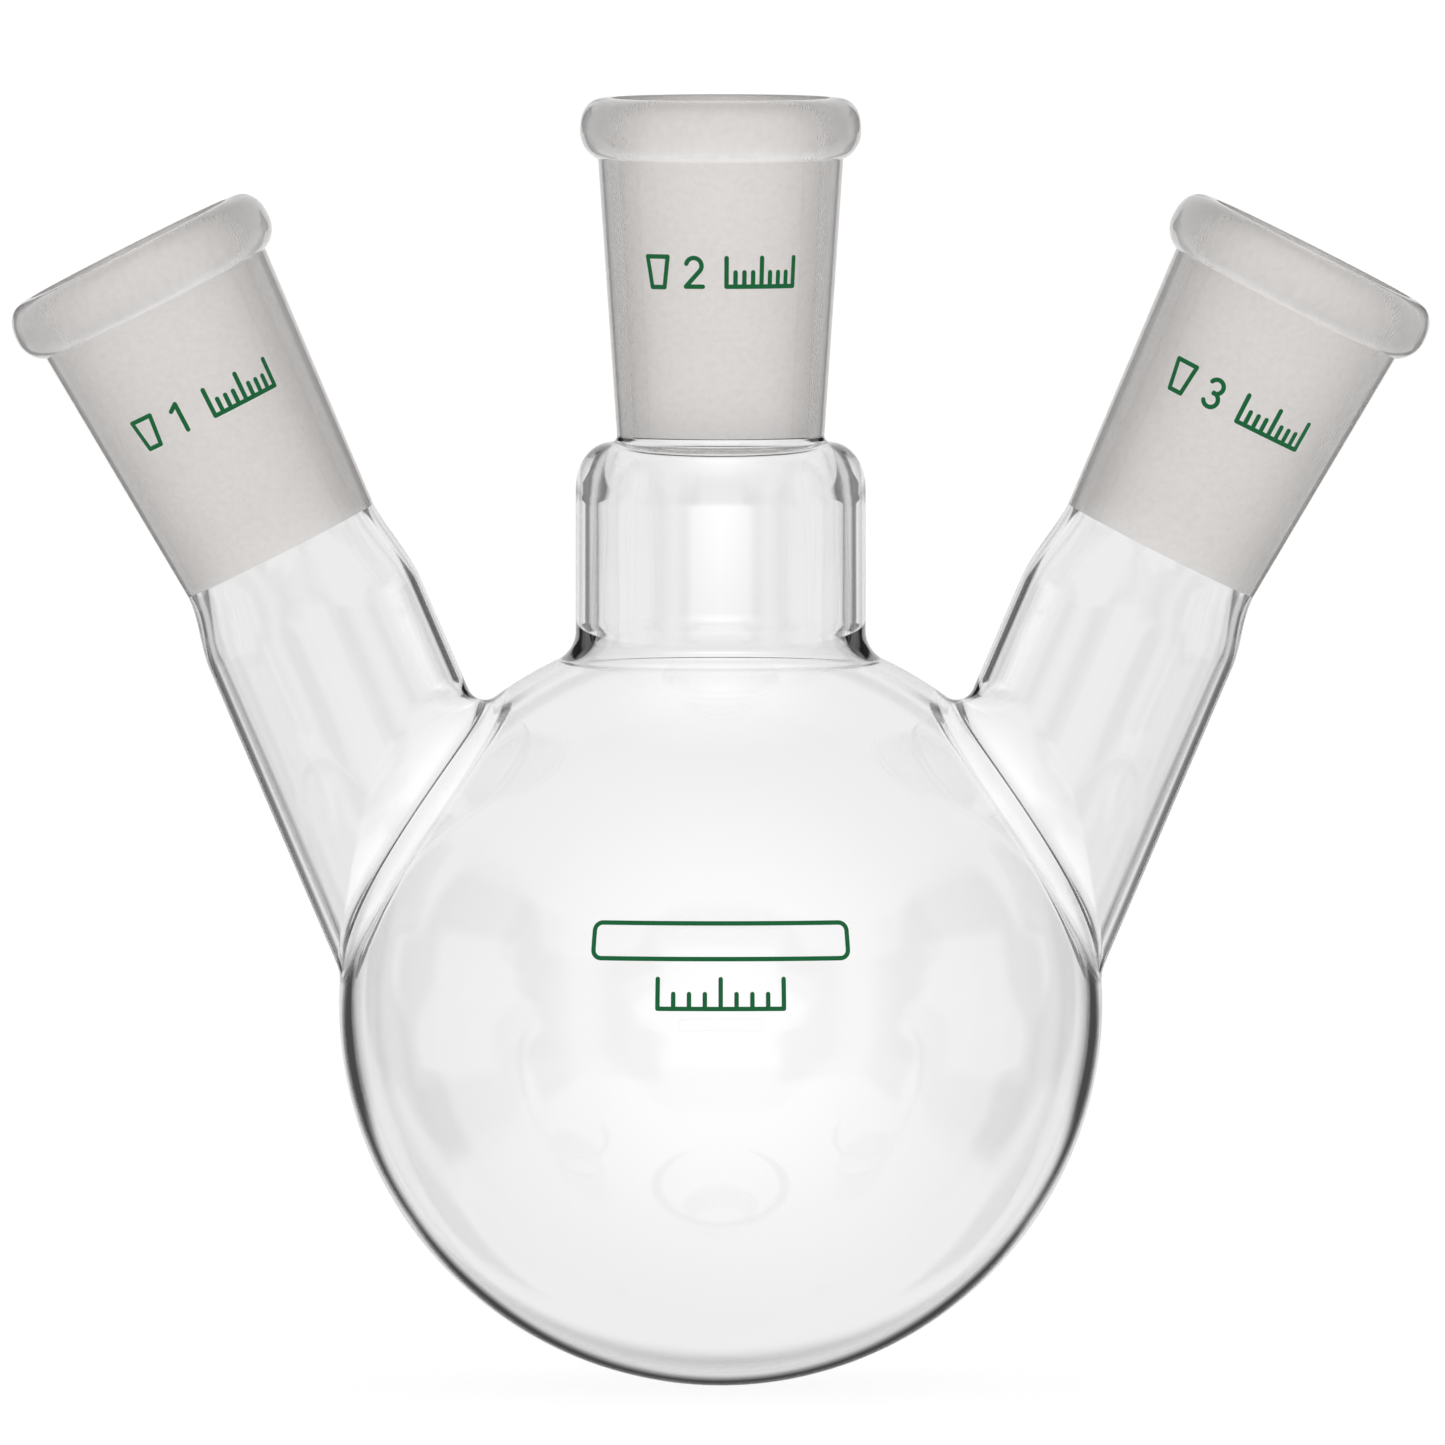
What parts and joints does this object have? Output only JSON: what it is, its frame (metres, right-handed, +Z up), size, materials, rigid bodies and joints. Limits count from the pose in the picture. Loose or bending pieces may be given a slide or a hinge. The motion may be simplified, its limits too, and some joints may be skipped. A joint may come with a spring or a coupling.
{
  "type": "round bottom flask",
  "caption": "Angled-neck round bottom flask of clear borosilicate glass, with ground conical sockets for stoppers, condensers and thermometers.",
  "frame": {"origin": "lowest point of the bulb's outside, on the axis of the bulb and centre neck", "axes": "+Z up along the centre neck, +X towards the right neck with the printed side in front, so that the printed side faces -Y"},
  "size_m": [0.1576, 0.0852, 0.1435],
  "materials": {
    "clear_glass": "clear, fire-polished",
    "ground_glass": "clear outside, finely ground bore",
    "green_enamel": "fired enamel print"
  },
  "bodies": {
    "root": {"bulb": "clear_glass", "centre_neck": "clear_glass", "centre_joint": "ground_glass", "centre_joint_mark": "green_enamel", "left_neck": "clear_glass", "left_joint": "ground_glass", "left_joint_mark": "green_enamel", "right_neck": "clear_glass", "right_joint": "ground_glass", "right_joint_mark": "green_enamel", "capacity_mark": "green_enamel", "marking_panel": "green_enamel"}
  },
  "joints": []
}
